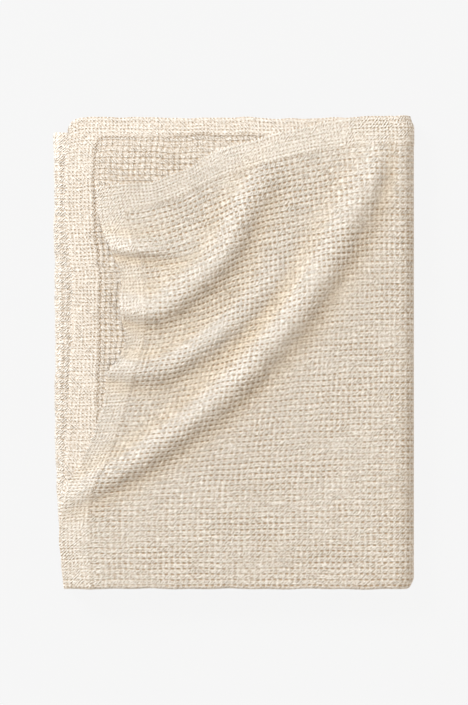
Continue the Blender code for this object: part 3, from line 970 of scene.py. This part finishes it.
# The photo's height in pixels, and the size of one pixel on the pack
PHOTO_HEIGHT, PIXEL = 705, 1.25 * MM
SENSOR_WIDTH, CAMERA_DISTANCE, SIGHT = 36.0, 5.0, 20.0
OUTLINE_HEIGHT = 2 * BUNDLE_PITCH  # how high the widest part of the pack lies
FLOOR_SIZE, FLOOR_DROP = 8.0, 1.5 * MM
FLOOR_SEEN, FLOOR_LIGHT = 0.90, 1.10  # how brightly the floor glows at the camera and at the pack


def hang_camera():
    """Straight above the pack, with a long lens that frames it at the height of its outline."""
    camera = bpy.data.cameras.new("camera")
    camera.sensor_width = SENSOR_WIDTH
    camera.lens = SENSOR_WIDTH * CAMERA_DISTANCE / (PHOTO_HEIGHT * PIXEL)
    camera.clip_end = SIGHT
    holder = bpy.data.objects.new("camera", camera)
    holder.location = (0.0, 0.0, OUTLINE_HEIGHT + CAMERA_DISTANCE)
    bpy.context.scene.collection.objects.link(holder)
    bpy.context.scene.camera = holder


def hang_lamp(name, place, size, energy, colour):
    """A round soft lamp that shines on the pack."""
    lamp = bpy.data.lights.new(name, "AREA")
    lamp.shape = "DISK"
    lamp.size = size
    lamp.energy = energy
    lamp.color = colour
    holder = bpy.data.objects.new(name, lamp)
    holder.location = place
    holder.rotation_euler = holder.location.normalized().to_track_quat("Z", "Y").to_euler()
    bpy.context.scene.collection.objects.link(holder)


def light_studio():
    """A broad soft light from the upper left, a weak warm one from the lower right, a pale room."""
    hang_lamp("window_light", place=(-3.4, 3.4, 3.7), size=2.2, energy=385.0,
              colour=(0.87, 0.93, 1.0))
    hang_lamp("warm_reflector", place=(4.2, -2.6, 1.7), size=3.0, energy=25.0,
              colour=(1.0, 0.89, 0.76))
    world = bpy.data.worlds.new("pale_room")
    world.use_nodes = True
    backdrop = world.node_tree.nodes["Background"]
    backdrop.inputs["Color"].default_value = (1.0, 0.905, 0.785, 1.0)
    backdrop.inputs["Strength"].default_value = 0.65
    bpy.context.scene.world = world
    bpy.context.scene.view_settings.view_transform = "Standard"


def lay_floor():
    """A plain pale floor, bright to look at, that throws little light up at the pack's sides."""
    bpy.ops.object.select_all(action="DESELECT")
    bpy.ops.mesh.primitive_plane_add(size=FLOOR_SIZE, location=(0.0, 0.0, -FLOOR_DROP))
    floor = bpy.context.object
    floor.name = "floor"
    material = bpy.data.materials.new("pale_floor")
    material.use_nodes = True
    tree = material.node_tree
    shader = tree.nodes["Principled BSDF"]
    shader.inputs["Base Color"].default_value = (0.02, 0.02, 0.02, 1.0)
    shader.inputs["Roughness"].default_value = 1.0
    shader.inputs["Specular IOR Level"].default_value = 0.0
    shader.inputs["Emission Color"].default_value = (1.0, 1.0, 1.0, 1.0)
    looked_at = add_node(tree, "LightPath").outputs["Is Camera Ray"]
    glow = maths(tree, "MULTIPLY_ADD", looked_at, FLOOR_SEEN - FLOOR_LIGHT, FLOOR_LIGHT)
    tree.links.new(glow, shader.inputs["Emission Strength"])
    floor.data.materials.append(material)


# Rows of cells along the folds and the layers' ends, and columns at the two outer turns
FOLD_ROWS = ((80, 84), (243, 246))
END_ROWS = ((0, 4), (160, 167), (322, 326))
TURN_COLUMNS = ((58, 67), (125, 129))
HEM_COLUMNS = ((0, 4), (ALL_ACROSS - 4, ALL_ACROSS))

# Stretches of the cloth: cells across and down, lines in a cell, ranges of finer cells, face
Stretch = collections.namedtuple("Stretch", "name across down lines closer face")
SEEN_CELLS = ((0, 58, 296, 326, (4, 4)), (0, 24, 245, 326, (4, 4)))
STRETCHES = (
    Stretch("top_layer", (0, 67), (0, 83), (4, 4), (), OUTER_FACE),
    Stretch("second_layer", (0, 67), (245, 326), (1, 1), SEEN_CELLS, OTHER_FACE),
    Stretch("left_fold", (123, 137), (0, 83), (4, 4), (), OUTER_FACE),
    Stretch("underside", (67, 123), (0, 83), (2, 2), (), OUTER_FACE),
    Stretch("middle_layers", (137, 247), (0, 83), (1, 1), (), OUTER_FACE),
    Stretch("upper_inner_layers", (0, 67), (83, 245), (1, 1), (), OUTER_FACE),
    Stretch("lower_inner_layers", (67, 137), (83, 326), (1, 1), (), OUTER_FACE),
    Stretch("middle_inner_layers", (137, 247), (83, 326), (1, 1), (), OUTER_FACE),
)

# Stitches that show: the face, and how many cells of the side and of the end are sewn
SEAMS = {"top_layer": (OUTER_FACE, 72, 52), "second_layer": (OTHER_FACE, 50, 34)}


def edges_of(across):
    """Ranges of finer cells along the layers' ends, folds and side hems."""
    ends = [(*across, *rows, (2, 2)) for rows in END_ROWS]
    folds = [(*across, *rows, (2, 4)) for rows in FOLD_ROWS]
    hems = [(*columns, 0, ALL_DOWN, (2, 2)) for columns in HEM_COLUMNS]
    turns = [(*columns, *rows, (4, 2)) for rows in END_ROWS for columns in TURN_COLUMNS]
    return ends + folds + hems + turns


def dress_pack():
    """Every stretch of the cloth, with its finish."""
    names = {OUTER_FACE: "cotton_outer_face", OTHER_FACE: "cotton_other_face"}
    group = cotton_group()
    cotton = {face: cotton_material(names[face], group, look) for face, look in LOOKS.items()}
    thread = thread_material()
    seams = {name: sew_hems(name + "_stitches", *seam, thread) for name, seam in SEAMS.items()}
    for name, across, down, lines, closer, face in STRETCHES:
        counts = grain(across, down, lines, *edges_of(across), *closer)
        piece = make_cloth(name, across, down, counts, face)
        piece.data.materials.append(cotton[face])
        sewn = [seams[name]] if name in seams else []
        for part in (piece, *sewn):
            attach(part, "root")
            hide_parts("bedspread")


dress_pack()
lay_floor()
hang_camera()
light_studio()
